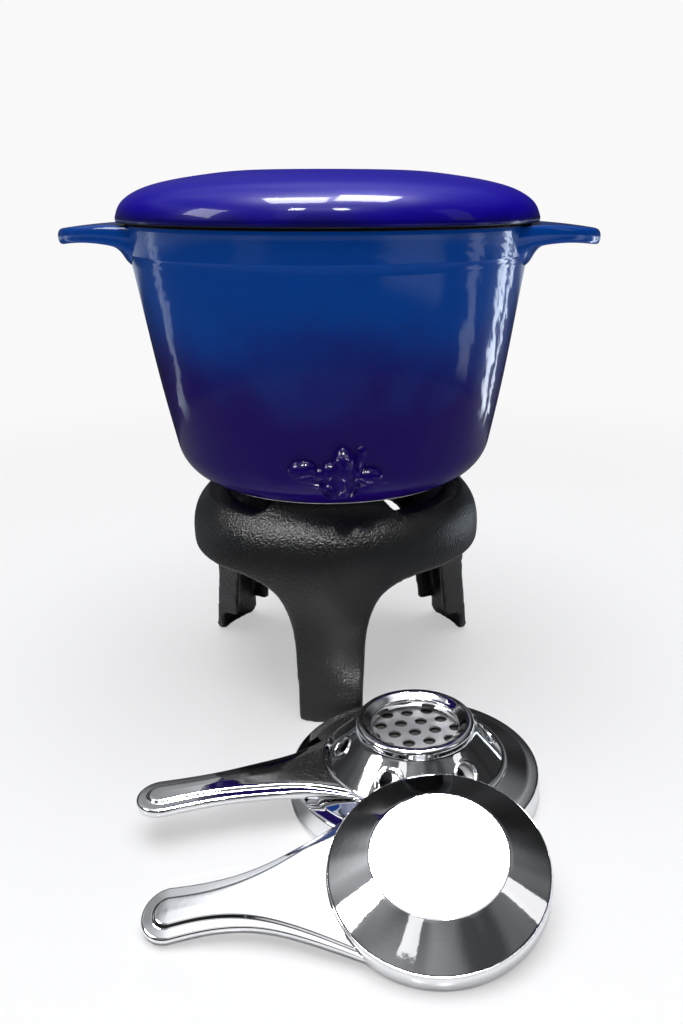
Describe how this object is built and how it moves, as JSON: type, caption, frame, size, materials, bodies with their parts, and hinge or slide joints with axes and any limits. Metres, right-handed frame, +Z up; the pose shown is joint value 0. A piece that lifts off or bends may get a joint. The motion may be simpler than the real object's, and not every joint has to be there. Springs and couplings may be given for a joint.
{
  "type": "fondue pot set",
  "caption": "Fondue set: enamelled pot with wing handles and domed lid on a three-legged cast stand, with a spirit burner, air regulator and snuffer.",
  "frame": {"origin": "on the table, on the stand's vertical axis", "axes": "+Z up, -Y the front, where the burner and snuffer lie, +X to the right"},
  "size_m": [0.276, 0.3592, 0.2694],
  "materials": {
    "stand_iron": "black, fine pebbled coating",
    "pot_enamel": "glossy enamel, mid blue at the rim to indigo at the base",
    "lid_enamel": "glossy cobalt enamel",
    "polished_steel": "mirror polished stainless steel",
    "satin_steel": "satin stainless steel",
    "fuel_wool": "matt absorbent fibre"
  },
  "bodies": {
    "stand": {"stand": "stand_iron"},
    "pot": {"pot": "pot_enamel"},
    "lid": {"lid": "lid_enamel"},
    "burner": {"burner_base": "polished_steel", "fuel_cup": "satin_steel", "fuel_wool": "fuel_wool", "burner_screen": "satin_steel", "air_collar": "satin_steel"},
    "regulator": {"regulator_cone": "polished_steel", "regulator_handle": "polished_steel"},
    "snuffer": {"snuffer_cap": "polished_steel", "snuffer_handle": "polished_steel"}
  },
  "joints": [
    {"name": "pot_lift", "type": "slide", "parent": "stand", "child": "pot", "axis": [0, 0, 1], "range_m": [0, 0.12]},
    {"name": "lid_lift", "type": "slide", "parent": "pot", "child": "lid", "axis": [0, 0, 1], "range_m": [0, 0.1]},
    {"name": "burner_lift", "type": "slide", "parent": "stand", "child": "burner", "axis": [0, 0, 1], "range_m": [0, 0.05]},
    {"name": "regulator_turn", "type": "hinge", "parent": "burner", "child": "regulator", "pos_m": [0.042, -0.1352, 0], "axis": [0, 0, 1], "range_deg": [-40, 9]},
    {"name": "snuffer_lift", "type": "slide", "parent": "burner", "child": "snuffer", "axis": [0, 0, 1], "range_m": [0, 0.05]}
  ]
}
